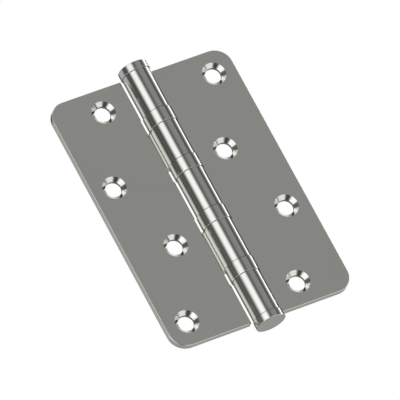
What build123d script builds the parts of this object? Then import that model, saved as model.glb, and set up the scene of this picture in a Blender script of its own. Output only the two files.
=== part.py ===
"""Ball-bearing butt hinge, opened flat.

Two steel leaves are rolled into five knuckles around one pin. Four thrust bearings sit between the
knuckles, and a flat cap closes each end of the barrel. The origin is the middle of the pin. +Z runs up the
pin, +X points along the three-knuckle leaf, and the countersunk faces look towards -Y. All sizes are in
millimetres.
"""

import os
from math import radians, sqrt, tan

from build123d import *

# Overall size, opened flat
hinge_height = 127.0
open_width = 90.0

# Leaves
leaf_thickness = 3.0
closed_gap = 3.0
corner_radius = 8.0
edge_rounding = 0.4
barrel_clearance = 0.9
barrel_edge_rounding = 0.3
crank_angle = 45.0
crank_inner_radius = 0.5
crank_outer_radius = 2.0
seam_gap = 0.2

# Screw holes, countersunk from the front, staggered in two columns
screw_row_pitch = 35.0
near_column = 21.6
outer_column = 34.2
screw_hole_diameter = 7.4
countersink_diameter = 11.0
countersink_angle = 90.0
screw_row_count = 4

# Barrel, from its top end down
pin_diameter = 7.2
running_clearance = 0.05
knuckle_lengths = [20.4, 18.1, 19.8, 20.1]
bearing_height = 7.05

# End caps
cap_proud = 0.35
cap_height = 3.7
cap_rounding = 0.3
spigot_length = 5.0
spigot_clearance = 0.02
pin_chamfer = 0.5

# Bearings
casing_proud = 0.35
casing_wall = 0.5
casing_floor = 0.5
casing_rounding = 0.3
casing_top_gap = 0.1
race_pin_clearance = 0.1
lower_race_clearance = 0.03
upper_race_clearance = 0.12
ball_count = 8
ball_clearance = 0.05
groove_depth = 0.35
cage_side_clearance = 0.1
cage_rim = 0.3
cage_race_clearance = 0.25
cage_pocket_clearance = 0.05

# Worked-out sizes
pin_radius = pin_diameter / 2
bore_radius = pin_radius + running_clearance
knuckle_radius = bore_radius + leaf_thickness
leaf_front = closed_gap / 2
leaf_back = leaf_front + leaf_thickness
leaf_edge = knuckle_radius + barrel_clearance
leaf_end = open_width / 2
top_end = hinge_height / 2
cap_radius = knuckle_radius + cap_proud
casing_radius = knuckle_radius + casing_proud
notch_edge = casing_radius + barrel_clearance
level_margin = 0.01

# The plate stays flat until it meets the barrel. There it bends back, under the end of the roll.
crank_start = sqrt(knuckle_radius**2 - leaf_front**2)

# Inside a bearing, the balls are as large as their cage allows between the pin and the casing.
race_bore_radius = pin_radius + race_pin_clearance
casing_bore_radius = casing_radius - casing_wall
cage_outer_radius = casing_bore_radius - cage_side_clearance
ball_pitch_radius = (race_bore_radius + cage_outer_radius) / 2
pocket_radius = (cage_outer_radius - race_bore_radius) / 2 - cage_rim
ball_radius = pocket_radius - cage_pocket_clearance
groove_radius = ball_radius + ball_clearance
race_gap = 2 * (groove_radius - groove_depth)
race_height = (bearing_height - casing_floor - race_gap) / 2
cage_height = race_gap - 2 * cage_race_clearance

# Heights (low, high) of each knuckle and each bearing, numbered from the top. The last knuckle takes what
# is left.
knuckles = []
bearings = []
level = top_end
for length in knuckle_lengths:
    knuckles.append((level - length, level))
    bearings.append((level - length - bearing_height, level - length))
    level -= length + bearing_height
knuckles.append((-top_end, level))


def leaf_plate(side):
    """The flat plate of one leaf: rounded corners, room for the bearings, soft front edges, screw holes."""
    with BuildPart() as plate:
        with BuildSketch(Plane.XZ.offset(-leaf_back)) as outline:
            with Locations((side * (leaf_edge + leaf_end) / 2, 0)):
                Rectangle(leaf_end - leaf_edge, hinge_height)
            fillet(outline.vertices().group_by(Axis.X)[-1 if side > 0 else 0], corner_radius)
            for low, high in bearings:
                with Locations((side * leaf_edge, (low + high) / 2)):
                    Rectangle(2 * (notch_edge - leaf_edge), high - low, mode=Mode.SUBTRACT)
        extrude(amount=leaf_thickness)
        front_edges = plate.faces().sort_by(Axis.Y)[0].edges()
        fillet(front_edges.filter_by(lambda edge: not is_beside_barrel(edge)), edge_rounding)
        with Locations(Plane.XZ.offset(-leaf_front)):
            with Locations(*screw_places(side)):
                CounterSinkHole(
                    radius=screw_hole_diameter / 2,
                    counter_sink_radius=countersink_diameter / 2,
                    counter_sink_angle=countersink_angle,
                )
    return plate.part


def screw_places(side):
    """Screw centres from the top row down. The two leaves are staggered opposite ways."""
    places = []
    for row in range(screw_row_count):
        height = ((screw_row_count - 1) / 2 - row) * screw_row_pitch
        outer = (row % 2 == 0) == (side > 0)
        places.append((side * (outer_column if outer else near_column), height))
    return places


def is_beside_barrel(edge):
    """True for an edge of the leaf that follows the barrel."""
    return abs((edge @ 0.5).X) < notch_edge + barrel_clearance / 2


def is_level_with(edge, spans):
    """True for an edge whose middle lies within one of the (low, high) height spans, ends included."""
    middle = (edge @ 0.5).Z
    return any(low - level_margin < middle < high + level_margin for low, high in spans)


def crank_outline(side):
    """The band that leads from the plate, back past the pin, to the start of the roll."""
    slope_run = (bore_radius - leaf_front) / tan(radians(crank_angle))
    bend_shift = leaf_thickness * tan(radians(crank_angle / 2))
    slope_end = crank_start - slope_run
    overlap = leaf_edge + bend_shift + crank_outer_radius
    with BuildSketch() as band:
        with BuildLine():
            front = FilletPolyline(
                (side * leaf_edge, leaf_front),
                (side * crank_start, leaf_front),
                (side * slope_end, bore_radius),
                (0, bore_radius),
                radius=crank_inner_radius,
            )
            back = FilletPolyline(
                (0, knuckle_radius),
                (side * (slope_end + bend_shift), knuckle_radius),
                (side * (crank_start + bend_shift), leaf_back),
                (side * overlap, leaf_back),
                radius=[crank_outer_radius, crank_inner_radius],
            )
            Line(front @ 1, back @ 0)
            Line(back @ 1, front @ 0)
        make_face()
    return band.sketch


def knuckle_profile(side):
    """Section of a knuckle: the leaf cranks back and rolls round the pin to a thin seam on the front."""
    band = crank_outline(side)
    with BuildSketch() as seam:
        offset(band, amount=seam_gap, kind=Kind.INTERSECTION)
        with Locations((side * 2 * knuckle_radius, 0)):
            Rectangle(4 * knuckle_radius, 4 * knuckle_radius, mode=Mode.INTERSECT)
    with BuildSketch() as profile:
        Circle(knuckle_radius)
        Circle(bore_radius, mode=Mode.SUBTRACT)
        add(seam.sketch, mode=Mode.SUBTRACT)
        add(band)
    return profile.sketch


def leaf(side, owned):
    """One leaf with its knuckles. owned holds the (low, high) heights of the knuckles rolled from it."""
    profile = knuckle_profile(side)
    with BuildPart() as body:
        add(leaf_plate(side))
        for low, high in owned:
            with BuildSketch(Plane.XY.offset(low)):
                add(profile)
            extrude(amount=high - low)
        # Soften the front edge beside the barrel. Where the leaf runs into its own knuckles, it stays.
        front_face = body.faces().filter_by(Axis.Y).sort_by(SortBy.AREA)[-2:].sort_by(Axis.Y)[0]
        beside = front_face.outer_wire().edges().filter_by(lambda edge: is_beside_barrel(edge))
        fillet(beside.filter_by(lambda edge: not is_level_with(edge, owned)), barrel_edge_rounding)
    return body


def end_cap(direction):
    """A flat button with soft rims over the end of the barrel. Its spigot is pressed into the bore."""
    with BuildPart() as cap:
        with BuildSketch(Plane.XY.offset(direction * top_end)):
            Circle(cap_radius)
        extrude(amount=direction * cap_height)
        fillet(cap.edges().filter_by(GeomType.CIRCLE), cap_rounding)
        with BuildSketch(Plane.XY.offset(direction * top_end)):
            Circle(bore_radius - spigot_clearance)
        extrude(amount=-direction * spigot_length)
    return cap


def ring(low, high, inner_radius, outer_radius):
    """A plain turned ring between two heights."""
    with BuildPart() as turned:
        with BuildSketch(Plane.XY.offset(low)):
            Circle(outer_radius)
            Circle(inner_radius, mode=Mode.SUBTRACT)
        extrude(amount=high - low)
    return turned.part


def race(low, high, outer_radius, ball_level):
    """A hardened ring with a ball groove in the face towards the balls."""
    with BuildPart() as grooved:
        add(ring(low, high, race_bore_radius, outer_radius))
        with Locations((0, 0, ball_level)):
            Torus(ball_pitch_radius, groove_radius, mode=Mode.SUBTRACT)
    return grooved


def casing(low, high):
    """The drawn cup seen between two knuckles: it carries the lower race and hides the balls."""
    with BuildPart() as cup:
        add(ring(low, high, race_bore_radius, casing_radius))
        with BuildSketch(Plane.XY.offset(low + casing_floor)):
            Circle(casing_bore_radius)
        extrude(amount=high - low - casing_floor, mode=Mode.SUBTRACT)
        rims = cup.edges().filter_by(GeomType.CIRCLE).group_by(SortBy.RADIUS)[-1]
        fillet(rims, casing_rounding)
    return cup


def cage(ball_level):
    """A flat ring with one round pocket for each ball."""
    with BuildPart() as retainer:
        low, high = ball_level - cage_height / 2, ball_level + cage_height / 2
        add(ring(low, high, race_bore_radius, cage_outer_radius))
        with Locations((0, 0, ball_level)):
            with PolarLocations(ball_pitch_radius, ball_count):
                Cylinder(pocket_radius, 2 * cage_height, mode=Mode.SUBTRACT)
    return retainer


def balls(ball_level):
    """The bearing's balls, spaced evenly round the pin."""
    with BuildPart() as ball_set:
        with Locations((0, 0, ball_level)):
            with PolarLocations(ball_pitch_radius, ball_count):
                Sphere(ball_radius)
    return ball_set


def save(piece, name):
    """Label a finished piece and write it to its own file."""
    piece.part.label = name
    export_step(piece.part, f"parts/{name}.step")
    print(f"{name}: {len(piece.part.solids())} solid(s), {piece.part.volume:.1f} mm3")


os.makedirs("parts", exist_ok=True)

# The right leaf owns the first, third and fifth knuckles, and the left leaf the second and fourth.
save(leaf(1, knuckles[0::2]), "three_knuckle_leaf")
save(leaf(-1, knuckles[1::2]), "two_knuckle_leaf")

# The pin runs through the whole barrel, between the spigots of the two caps.
pin_half_length = top_end - spigot_length
with BuildPart() as hinge_pin:
    with BuildSketch(Plane.XY.offset(-pin_half_length)):
        Circle(pin_radius)
    extrude(amount=2 * pin_half_length)
    chamfer(hinge_pin.edges().filter_by(GeomType.CIRCLE), pin_chamfer)
save(hinge_pin, "hinge_pin")

save(end_cap(1), "top_cap")
save(end_cap(-1), "bottom_cap")

# Each bearing rests on the knuckle below it, and the knuckle above rests on its upper race.
for number, (floor_level, roof_level) in enumerate(bearings, start=1):
    lower_race_bottom = floor_level + casing_floor
    lower_race_top = lower_race_bottom + race_height
    ball_level = lower_race_top + race_gap / 2
    upper_race_bottom = lower_race_top + race_gap
    lower_race_radius = casing_bore_radius - lower_race_clearance
    upper_race_radius = casing_bore_radius - upper_race_clearance
    lower_race = race(lower_race_bottom, lower_race_top, lower_race_radius, ball_level)
    upper_race = race(upper_race_bottom, roof_level, upper_race_radius, ball_level)
    save(casing(floor_level, roof_level - casing_top_gap), f"bearing_{number}_casing")
    save(lower_race, f"bearing_{number}_lower_race")
    save(upper_race, f"bearing_{number}_upper_race")
    save(cage(ball_level), f"bearing_{number}_cage")
    save(balls(ball_level), f"bearing_{number}_balls")
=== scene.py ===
# %% [markdown]
# # A ball-bearing butt hinge in stainless steel
# The hinge is opened flat. Two leaves of plate are rolled round one pin, and a small ball
# bearing stands between each pair of knuckles. Every solid comes from the CAD model, at its
# true size and in metres, so nothing is modelled twice here. What Blender adds is what the
# eye reads as steel: a finely ground plate, a polished barrel and the studio mirrored in both.
#
# The x axis runs across the leaves, z runs up the pin, and the countersunk faces look
# towards minus y.

import math

import bmesh
import bpy
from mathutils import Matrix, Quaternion, Vector


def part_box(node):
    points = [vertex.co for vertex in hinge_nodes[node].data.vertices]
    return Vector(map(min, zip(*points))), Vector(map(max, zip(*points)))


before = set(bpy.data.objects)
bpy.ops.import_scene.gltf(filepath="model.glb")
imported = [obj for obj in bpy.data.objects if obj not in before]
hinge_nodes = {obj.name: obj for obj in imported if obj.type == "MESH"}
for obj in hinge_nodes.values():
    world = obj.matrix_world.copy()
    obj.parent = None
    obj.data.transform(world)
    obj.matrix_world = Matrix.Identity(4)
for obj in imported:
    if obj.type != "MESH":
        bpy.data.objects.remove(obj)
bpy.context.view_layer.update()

# %% [markdown]
# The pieces fall into a few kinds of steel work. Sorting them once by name keeps the
# finishes short: the two pressed leaves, the turned end caps, the drawn bearing casings, the
# ground pin, and the hardened races, cages and balls that sit out of sight in the casings.

# %% Sort the pieces by how they are made
leaves = ["three_knuckle_leaf", "two_knuckle_leaf"]
end_caps = ["top_cap", "bottom_cap"]
casings = [name for name in hinge_nodes if name.endswith("_casing")]
races = [name for name in hinge_nodes if name.endswith("_race")]
cages = [name for name in hinge_nodes if name.endswith("_cage")]
ball_rings = [name for name in hinge_nodes if name.endswith("_balls")]
print(len(leaves), "leaves,", len(end_caps), "end caps and", len(casings), "casings")
print(len(races), "races,", len(cages), "cages and", len(ball_rings), "ball rings")

# %% [markdown]
# A material is a small graph of nodes. A few helpers make the rest of the file readable: one
# adds a node, fills in its sockets and wires what feeds it, two name the Mix node's sockets,
# which are numbered by what is mixed, one starts a steel with its Principled shader, and one
# puts a finished steel on pieces. Values that are the same all over a piece stay on the shader
# itself.

# %% Helpers for building a finish
millimetre = 0.001


def add(tree, kind, wires=None, **settings):
    """A node of this kind, with its properties set and its inputs filled or wired."""
    node = tree.nodes.new(kind)
    for name, value in settings.items():
        setattr(node, name, value)
    for socket, value in (wires or {}).items():
        if isinstance(value, bpy.types.NodeSocket):
            tree.links.new(value, node.inputs[socket])
        else:
            node.inputs[socket].default_value = value
    return node


def opaque(tint):
    """The four parts that a colour socket takes."""
    return (*tint, 1.0)


def mix_colours(tree, share, first, second):
    """Goes from the first colour to the second as the share goes from 0 to 1."""
    mixed = add(tree, "ShaderNodeMix", {0: share, 6: first, 7: second}, data_type="RGBA")
    return mixed.outputs[2]


def mix_values(tree, share, first, second):
    """Goes from the first value to the second as the share goes from 0 to 1."""
    mixed = add(tree, "ShaderNodeMix", {0: share, 2: first, 3: second}, data_type="FLOAT")
    return mixed.outputs[0]


def start_steel(name, tint):
    """A bare metal of one tint. Gives the material, its node tree and its shader."""
    steel = bpy.data.materials.new(name)
    steel.use_nodes = True
    tree = steel.node_tree
    shader = tree.nodes["Principled BSDF"]
    shader.inputs["Base Color"].default_value = opaque(tint)
    shader.inputs["Metallic"].default_value = 1.0
    steel.diffuse_color = opaque(tint)
    return steel, tree, shader


def wear_steel(names, steel):
    """Puts a finish on every material slot of these pieces."""
    for name in names:
        for slot in hinge_nodes[name].material_slots:
            slot.material = steel


print("helpers ready, lengths in metres, one millimetre is", millimetre)

# %% [markdown]
# Stainless steel is a slightly warm grey. It throws back about two thirds of the light that
# meets it, so its tint is a middle value, and all of its brightness and darkness comes from
# what it mirrors. Rolling works the barrel harder than the plate and leaves it a little
# darker. No tint is one flat tone: heat and handling leave faint clouds, so a large soft noise
# moves it by a few percent. The clouds are as large as the piece lets them be.

# %% The tint of stainless steel
plate_tint = (0.685, 0.693, 0.643)
rolled_tint = (0.635, 0.643, 0.605)
# painted shade: the dark tint of the drilled walls stands for the shade inside the holes
hole_wall_shade_tint = (0.27, 0.27, 0.26)
cloud_depth = 0.06
plate_clouds = 40.0 * millimetre
barrel_clouds = 20.0 * millimetre
small_clouds = 8.0 * millimetre


def cloudy_tint(tree, place, cloud_size, tint):
    """A colour that drifts between the tint and a darker one over clouds of this size."""
    clouds = add(
        tree, "ShaderNodeTexNoise", {"Vector": place, "Scale": 1.0 / cloud_size, "Detail": 3.0}
    )
    darker = [part * (1.0 - cloud_depth) for part in tint]
    return mix_colours(tree, clouds.outputs["Fac"], opaque(darker), opaque(tint))


print("plate tint", plate_tint, "and rolled tint", rolled_tint)

# %% [markdown]
# The leaves are one piece of plate each, but they carry two finishes. The flat faces are
# ground fine: they mirror the studio, and the grain softens its edges. The rolled knuckles and
# the cones of the countersinks are polished brighter by the mandrel and the cutter. One
# material does both, because Object coordinates say where on the leaf a point is: its distance
# from the pin's axis tells the barrel from the plate, and its distance from a hole's centre
# tells the cone. The straight wall below the cone is left dull, as the drill made it, and its
# colour is painted dark as the shade inside the hole. That painted shade draws the thin dark line
# round each hole.
#
# Each leaf has four screw holes, one to a row, which step between a near and a far column.
# The two leaves step opposite ways.

# %% Where the leaf is polished
barrel_radius = 6.65 * millimetre
barrel_fade = (0.02 * millimetre, 0.15 * millimetre)
cone_radius = 5.5 * millimetre
cone_fade = (-0.02 * millimetre, 0.06 * millimetre)
wall_radius = 3.7 * millimetre
wall_fade = (0.03 * millimetre, 0.08 * millimetre)

near_column = 21.6 * millimetre
far_column = 34.2 * millimetre
row_pitch = 35.0 * millimetre
rows = [(1.5 - row) * row_pitch for row in range(4)]
screw_places = {
    "three_knuckle_leaf": list(zip([far_column, near_column] * 2, rows)),
    "two_knuckle_leaf": list(zip([-near_column, -far_column] * 2, rows)),
}


def soft_step(tree, value, start, end, low=0.0, high=1.0):
    """Runs smoothly from low to high as the value goes from start to end."""
    step = add(
        tree,
        "ShaderNodeMapRange",
        {"Value": value, "From Min": start, "From Max": end, "To Min": low, "To Max": high},
        interpolation_type="SMOOTHSTEP",
    )
    return step.outputs["Result"]


def calculate(tree, operation, first, second=None):
    """One step of arithmetic on two values."""
    wires = {0: first} if second is None else {0: first, 1: second}
    return add(tree, "ShaderNodeMath", wires, operation=operation).outputs[0]


def inside(tree, distance, radius, fade):
    """1 within a radius and 0 outside it. The fade says how far from it the change starts and ends."""
    return soft_step(tree, distance, radius + fade[1], radius + fade[0])


def barrel_mask(tree, place):
    """1 on the rolled knuckles and 0 on the plate."""
    across = add(tree, "ShaderNodeVectorMath", {0: place, 1: (1.0, 1.0, 0.0)}, operation="MULTIPLY")
    from_axis = add(tree, "ShaderNodeVectorMath", {0: across.outputs[0]}, operation="LENGTH")
    return inside(tree, from_axis.outputs["Value"], barrel_radius, barrel_fade)


def hole_masks(tree, place, holes):
    """Two masks: 1 in the countersinks and holes, and 1 on the straight drilled walls alone, which get
    painted shade and a duller finish.
    """
    flat = add(tree, "ShaderNodeVectorMath", {0: place, 1: (1.0, 0.0, 1.0)}, operation="MULTIPLY")
    nearest = None
    for x, z in holes:
        away = add(
            tree, "ShaderNodeVectorMath", {0: flat.outputs[0], 1: (x, 0.0, z)}, operation="DISTANCE"
        )
        distance = away.outputs["Value"]
        nearest = distance if nearest is None else calculate(tree, "MINIMUM", nearest, distance)
    cones = inside(tree, nearest, cone_radius, cone_fade)
    wall_shade_and_dullness = inside(tree, nearest, wall_radius, wall_fade)
    return cones, wall_shade_and_dullness


print(sum(len(holes) for holes in screw_places.values()), "countersunk holes get a polished cone")

# %% [markdown]
# Where a knuckle meets a bearing or a cap there is a joint as thin as a hair. Shade falls into
# it, so a line of one or two tenths of a millimetre on each side is painted darker as shade. The
# bearings and caps are a little wider than the knuckles, so where one stands under a knuckle
# its rim is a ledge, and the painted shade in that corner is wider. The heights of these
# joints come from the boxes of the casings, and the two caps sit on the barrel's ends.

# %% Painted shade at the joints of the barrel
barrel_end = 63.5 * millimetre
plain_reach = 0.16 * millimetre
ledge_reach = 0.28 * millimetre
# painted shade: the tint, strength and core width of the dark lines painted at the joints
joint_shade_tint = (0.10, 0.10, 0.09)
joint_shade_depth = 0.75
joint_shade_core = 0.4
joints = [(-barrel_end, ledge_reach), (barrel_end, plain_reach)]
for name in casings:
    low_corner, high_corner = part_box(name)
    joints += [(low_corner[2], plain_reach), (high_corner[2], ledge_reach)]


def paint_shade_at_joints(tree, place, colour, where=1.0):
    """The colour, with painted shade close to a joint. The mask says on which part of the piece."""
    height = add(tree, "ShaderNodeSeparateXYZ", {0: place}).outputs["Z"]
    nearest = None
    for level, reach in joints:
        away = calculate(tree, "ABSOLUTE", calculate(tree, "SUBTRACT", height, level))
        away = calculate(tree, "DIVIDE", away, reach)
        nearest = away if nearest is None else calculate(tree, "MINIMUM", nearest, away)
    painted_joint_shade = soft_step(tree, nearest, 1.0, joint_shade_core, 0.0, joint_shade_depth)
    painted_joint_shade = calculate(tree, "MULTIPLY", painted_joint_shade, where)
    return mix_colours(tree, painted_joint_shade, colour, opaque(joint_shade_tint))


print(len(joints), "joints along the barrel")

# %% [markdown]
# The grain of the plate is too fine to see as lines at arm's length, but it must be there
# close up. A noise stretched along z gives the long strokes of a grinding belt. It moves the
# roughness a little and, through a Bump node, tilts the surface by a hair. On the barrel the
# strokes left by buffing round the knuckle run across z, and they move its roughness.

# %% Strokes and marks in the steel
stroke_range = (0.2, 0.8)


def grain(tree, place, stretch, fineness):
    """Strokes of a belt or a wheel, as a value that seldom leaves the stroke range."""
    strokes = add(tree, "ShaderNodeMapping", {"Vector": place, "Scale": stretch})
    lines = add(
        tree,
        "ShaderNodeTexNoise",
        {"Vector": strokes.outputs["Vector"], "Scale": fineness, "Detail": 4.0, "Roughness": 0.6},
    )
    return lines.outputs["Fac"]


def stroked_roughness(tree, strokes, least, most):
    """A roughness that follows the strokes."""
    return soft_step(tree, strokes, *stroke_range, least, most)


def cut_marks(tree, shader, strokes, strength, depth):
    """Tilts the shader's surface by the strokes."""
    relief = add(
        tree, "ShaderNodeBump", {"Height": strokes, "Strength": strength, "Distance": depth}
    )
    tree.links.new(relief.outputs["Normal"], shader.inputs["Normal"])


print("strokes run from", stroke_range[0], "to", stroke_range[1])

# %% [markdown]
# A leaf's finish is put together in three steps. The tint goes from the plate to the barrel and
# the cones, then to the painted shade at the joints and on the drilled walls. The roughness takes the
# same road. Last come the marks of the grinding belt, which polishing has nearly taken off the barrel.

# %% Ground and polished steel on the leaves
belt_stretch = (3.0, 3.0, 0.15)
belt_fineness = 900.0
buffing_stretch = (0.3, 0.3, 4.0)
buffing_fineness = 700.0
belt_mark_depth = 0.02 * millimetre


def leaf_steel(name, holes):
    """The finish of one leaf: ground plate, polished barrel and polished countersinks."""
    steel, tree, shader = start_steel(name, plate_tint)
    place = add(tree, "ShaderNodeTexCoord").outputs["Object"]
    barrel = barrel_mask(tree, place)
    cones, wall_shade_and_dullness = hole_masks(tree, place, holes)
    polished = calculate(tree, "MAXIMUM", barrel, cones)

    plate_colour = cloudy_tint(tree, place, plate_clouds, plate_tint)
    bright_colour = cloudy_tint(tree, place, barrel_clouds, rolled_tint)
    colour = mix_colours(tree, polished, plate_colour, bright_colour)
    # painted shade along the joints of the barrel
    colour = paint_shade_at_joints(tree, place, colour, barrel)
    # painted shade on the drilled walls, darkened as the inside of the holes
    colour = mix_colours(tree, wall_shade_and_dullness, colour, opaque(hole_wall_shade_tint))
    tree.links.new(colour, shader.inputs["Base Color"])

    belt_strokes = grain(tree, place, belt_stretch, belt_fineness)
    ground = stroked_roughness(tree, belt_strokes, 0.08, 0.12)
    buffing_strokes = grain(tree, place, buffing_stretch, buffing_fineness)
    bright = stroked_roughness(tree, buffing_strokes, 0.04, 0.07)
    rough = mix_values(tree, polished, ground, bright)
    rough = mix_values(tree, wall_shade_and_dullness, rough, 0.35)
    tree.links.new(rough, shader.inputs["Roughness"])

    strength = soft_step(tree, polished, 0.0, 1.0, 0.03, 0.01)
    cut_marks(tree, shader, belt_strokes, strength, belt_mark_depth)
    return steel


for leaf_name in leaves:
    wear_steel([leaf_name], leaf_steel("steel_" + leaf_name, screw_places[leaf_name]))
print("leaves finished")

# %% [markdown]
# Caps, casings, the pin, the races and the balls are all turned or drawn round the z axis, so
# their marks are rings. The height along the pin, z, drives a noise that hardly changes
# across the piece, and that gives the faint turning lines. What differs from piece to piece
# is only how far it was polished: balls like a mirror, races and pin ground, caps and
# casings buffed, cages pressed from sheet and left duller.

# %% Turned and polished steel on the small pieces
race_tint = (0.56, 0.555, 0.54)
cage_tint = (0.58, 0.56, 0.50)
ball_tint = (0.62, 0.62, 0.61)
ring_stretch = (0.12, 0.12, 4.0)
ring_fineness = 1100.0
ring_mark_depth = 0.01 * millimetre


def turned_steel(name, tint, roughness, ring_strength, paints_joint_shade=False):
    """Steel turned about the pin's axis, with fine rings along it."""
    steel, tree, shader = start_steel(name, tint)
    place = add(tree, "ShaderNodeTexCoord").outputs["Object"]
    colour = cloudy_tint(tree, place, small_clouds, tint)
    if paints_joint_shade:
        # painted shade along the joints of the caps and casings
        colour = paint_shade_at_joints(tree, place, colour)
    tree.links.new(colour, shader.inputs["Base Color"])
    rings = grain(tree, place, ring_stretch, ring_fineness)
    rough = stroked_roughness(tree, rings, 0.85 * roughness, 1.2 * roughness)
    tree.links.new(rough, shader.inputs["Roughness"])
    cut_marks(tree, shader, rings, ring_strength, ring_mark_depth)
    return steel


wear_steel(end_caps, turned_steel("steel_buffed_cap", rolled_tint, 0.07, 0.02, paints_joint_shade=True))
wear_steel(casings, turned_steel("steel_drawn_casing", rolled_tint, 0.06, 0.02, paints_joint_shade=True))
wear_steel(["hinge_pin"], turned_steel("steel_ground_pin", rolled_tint, 0.22, 0.05))
wear_steel(races, turned_steel("steel_hardened_race", race_tint, 0.16, 0.05))
wear_steel(cages, turned_steel("steel_pressed_cage", cage_tint, 0.35, 0.05))
wear_steel(ball_rings, turned_steel("steel_bearing_ball", ball_tint, 0.05, 0.0))
print("caps, casings, pin and bearings finished")

# %% [markdown]
# Bare metal looks like what stands round it. The photograph's dark and light bands along the
# barrel are a studio: a tall soft light in front and a little left, dark cards on each side
# of it that cut the dark lines, a grey board on the right that the flat leaves mirror, a
# strip light further round on the right, and a wide light overhead. The world shader draws
# that studio by direction, so it stays where it is when the camera moves.
#
# A direction is turned into two angles. The compass angle is 0 towards the photographer and
# grows to the photographer's right, up to 180 straight behind the hinge. The height angle is 0
# at the horizon and 90 overhead. A second compass counts from straight behind, for the paper
# that hangs there.

# %% The studio, drawn by direction
view_line = Vector((0.4216, 0.9068, 0.0))
right_line = Vector((view_line.y, -view_line.x, 0.0))
up_line = Vector((0.0, 0.0, 1.0))

world = bpy.data.worlds.new("studio")
bpy.context.scene.world = world
world.use_nodes = True
sky = world.node_tree
sky.nodes.clear()
direction = add(sky, "ShaderNodeTexCoord").outputs["Generated"]


def along(axis):
    """How far a direction goes along an axis, from -1 to 1."""
    part = add(sky, "ShaderNodeVectorMath", {0: direction, 1: tuple(axis)}, operation="DOT_PRODUCT")
    return part.outputs["Value"]


def in_degrees(angle):
    """Radians to degrees."""
    return calculate(sky, "MULTIPLY", angle, math.degrees(1.0))


compass = in_degrees(calculate(sky, "ARCTAN2", along(right_line), along(-view_line)))
compass_behind = in_degrees(calculate(sky, "ARCTAN2", along(right_line), along(view_line)))
height = in_degrees(calculate(sky, "ARCSINE", along(up_line)))
print("compass and height angles ready")

# %% [markdown]
# Each light or card is one soft-edged rectangle in those two angles: where it starts and
# ends, how soft its edges are, and how bright it is. Cards are laid over each other like
# sheets of paper, the later ones on top, over a grey room. A brightness of 1 is white paper.
# Their places were found from the photograph: each dark or light band on the barrel, and each
# wedge in a countersink, is the mirror image of one of them.

# %% Lights and cards
room = 0.43
cards = [
    # what it is, brightness, compass from and to, height from and to, softness of each
    ("grey screen in front", 0.24, (-105.0, 90.0), (-27.0, 54.0), 5.0, 15.0),
    ("dark wall behind on the left", 0.12, (-260.0, -135.0), (0.0, 60.0), 8.0, 3.0),
    ("pale card on the far left", 0.62, (-130.0, -60.0), (10.0, 45.0), 15.0, 6.0),
    ("black card left of the soft light", 0.09, (-78.0, -40.0), (15.0, 49.0), 7.0, 9.0),
    ("black strip below the pale card", 0.04, (-95.0, -74.0), (-6.0, 14.0), 6.0, 4.0),
    ("pale ceiling", 0.90, (-260.0, 260.0), (76.0, 120.0), 1.0, 6.0),
    ("wide light overhead", 1.65, (-45.0, 35.0), (58.0, 120.0), 20.0, 4.0),
    ("grey board that the flat leaves mirror", 0.355, (22.0, 88.0), (-8.0, 70.0), 5.0, 4.0),
    ("dark gap right of the soft light", 0.16, (2.0, 32.0), (-12.0, 53.0), 15.0, 3.0),
    ("black strip right of the grey board", 0.12, (75.0, 96.0), (17.0, 37.0), 7.0, 3.0),
    ("tall strip light on the right", 2.20, (111.0, 130.0), (-62.0, 28.0), 7.0, 7.0),
    ("foot of the tall soft light", 1.65, (-43.0, -27.0), (-42.0, -6.0), 6.0, 3.0),
    ("tall soft light, lower half", 1.65, (-43.0, -2.0), (-8.0, 18.0), 10.0, 3.0),
    ("tall soft light, upper half", 1.54, (-31.0, 9.0), (-15.0, 33.0), 12.0, 19.0),
    ("hot middle of the soft light", 2.20, (-13.0, 8.0), (3.0, 15.0), 5.0, 3.0),
    ("narrow light low on the left", 1.50, (-69.0, -59.0), (-34.0, 14.0), 10.0, 5.0),
    ("bright sheet low on the right", 1.20, (20.0, 102.0), (-70.0, -37.0), 14.0, 2.0),
    ("raised corner of that sheet", 1.40, (27.0, 48.0), (-42.0, -20.0), 6.0, 4.0),
    ("black card under the front", 0.09, (-30.0, 5.0), (-90.0, -33.0), 9.0, 12.0),
]


def between(angle, low, high, softness):
    """1 where the angle lies between low and high, with soft ends."""
    above_low = soft_step(sky, angle, low - softness, low + softness)
    below_high = soft_step(sky, angle, high + softness, high - softness)
    return calculate(sky, "MULTIPLY", above_low, below_high)


def lay_card(below, brightness, compass_span, height_span, soft_compass, soft_height):
    """Lays a soft-edged card over what is below it and gives the new brightness."""
    mask = calculate(
        sky,
        "MULTIPLY",
        between(compass, *compass_span, soft_compass),
        between(height, *height_span, soft_height),
    )
    return mix_values(sky, mask, below, brightness)


studio = room
for title, *card in cards:
    studio = lay_card(studio, *card)
print(len(cards), "lights and cards, from the", cards[0][0], "to the", cards[-1][0])

# %% [markdown]
# The photograph's background is pure white. Rays from the camera, and rays through glass, see
# white paper wherever they go, at a strength of 1. A mirror is fussier: it shows where the
# paper ends. So the metal sees the same white paper only where it hangs, behind the hinge and
# round to the right, and the studio everywhere else. That is how a photographer keeps dark
# outlines on a bright object: a narrow white background, with black beside it.

# %% White paper behind the hinge
white = 1.0
paper = calculate(
    sky,
    "MULTIPLY",
    between(compass_behind, -4.0, 32.0, 6.0),
    between(height, 12.0, 48.0, 8.0),
)
light_path = add(sky, "ShaderNodeLightPath")
clear_view = calculate(
    sky, "MAXIMUM", light_path.outputs["Is Camera Ray"], light_path.outputs["Is Transmission Ray"]
)
mirrored_view = calculate(sky, "MULTIPLY", light_path.outputs["Is Glossy Ray"], paper)
sees_paper = calculate(sky, "MAXIMUM", clear_view, mirrored_view)
seen = mix_values(sky, sees_paper, studio, white)
glow = add(sky, "ShaderNodeBackground", {"Color": opaque((1.0, 1.0, 1.0)), "Strength": seen})
add(sky, "ShaderNodeOutputWorld", {"Surface": glow.outputs["Background"]})
print("world laid out with", len(sky.nodes), "nodes")

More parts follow.
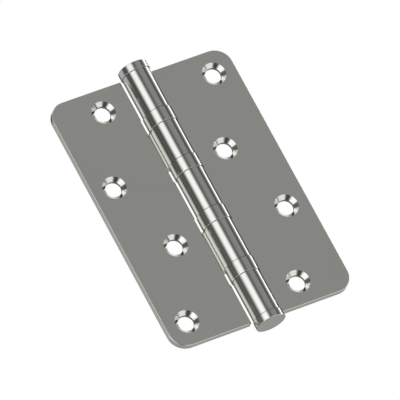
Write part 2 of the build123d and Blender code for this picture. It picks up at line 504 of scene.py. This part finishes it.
# %% [markdown]
# The floor is a round pale board two metres under the hinge. The photographer looks up at the
# hinge from below its middle, so a floor at the hinge's foot would stand in the way. Faces
# that look straight down still mirror this one, and the lights that stand low round the hinge
# reach the countersinks past its rim, which is why it is no wider.

# %% A pale floor
floor_radius = 0.85
floor_drop = 2.0

floor_mesh = bpy.data.meshes.new("studio_floor")
floor = bpy.data.objects.new("studio_floor", floor_mesh)
bpy.context.scene.collection.objects.link(floor)
board = bmesh.new()
bmesh.ops.create_circle(board, cap_ends=True, segments=96, radius=floor_radius)
bmesh.ops.translate(board, verts=board.verts, vec=(0.0, 0.0, -floor_drop))
board.to_mesh(floor_mesh)
board.free()
print("floor of radius", floor_radius, "m at", floor_drop, "m below the hinge")

# %% [markdown]
# The board is matt and pale. It would still look grey beside the white paper, so a ray from
# the camera sees it as white paper too, and every other ray meets the real board.

# %% The finish of the floor
pale_board = bpy.data.materials.new("pale_board")
pale_board.use_nodes = True
board_tree = pale_board.node_tree
board_shader = board_tree.nodes["Principled BSDF"]
board_shader.inputs["Base Color"].default_value = opaque((0.86, 0.86, 0.85))
board_shader.inputs["Roughness"].default_value = 0.9
board_white = add(board_tree, "ShaderNodeEmission", {"Strength": white})
board_path = add(board_tree, "ShaderNodeLightPath")
board_mix = add(
    board_tree,
    "ShaderNodeMixShader",
    {
        0: board_path.outputs["Is Camera Ray"],
        1: board_shader.outputs["BSDF"],
        2: board_white.outputs["Emission"],
    },
)
board_end = board_tree.nodes["Material Output"]
board_tree.links.new(board_mix.outputs["Shader"], board_end.inputs["Surface"])
floor_mesh.materials.append(pale_board)
print("floor finished as", pale_board.name)

# %% [markdown]
# One wide lamp stands in front and above, where a soft box would. It is weak, because the
# world already lights the hinge; it gives a matt surface a light side and a dark side.

# %% A soft box
soft_box = bpy.data.lights.new("soft_box", "AREA")
soft_box.shape = "DISK"
soft_box.size = 1.4
soft_box.energy = 1.5
soft_box_stand = bpy.data.objects.new("soft_box", soft_box)
bpy.context.scene.collection.objects.link(soft_box_stand)
soft_box_stand.location = (-0.9, -1.4, 1.9)
soft_box_stand.rotation_euler = (-soft_box_stand.location).to_track_quat("-Z", "Y").to_euler()
print("soft box at", tuple(round(c, 2) for c in soft_box_stand.location))

# %% [markdown]
# The camera stands more than four metres away behind a very long lens. That is why the
# hinge's parallel edges stay parallel in the photograph. It was placed by matching the
# corners of the leaves, the ends of the barrel and the screw holes.

# %% The camera
long_lens = bpy.data.cameras.new("long_lens")
long_lens.sensor_width = 36.0
long_lens.lens = 900.0
long_lens.clip_start = 0.1
long_lens.clip_end = 20.0
camera = bpy.data.objects.new("long_lens", long_lens)
bpy.context.scene.collection.objects.link(camera)
camera.location = (-1.727517, -3.711513, -1.475150)
camera.rotation_mode = "QUATERNION"
camera.rotation_quaternion = Quaternion((0.513379, 0.8177, 0.026271, -0.259071))
bpy.context.scene.camera = camera
bpy.context.scene.view_settings.view_transform = "Standard"
print("camera", round(camera.location.length, 2), "m away")
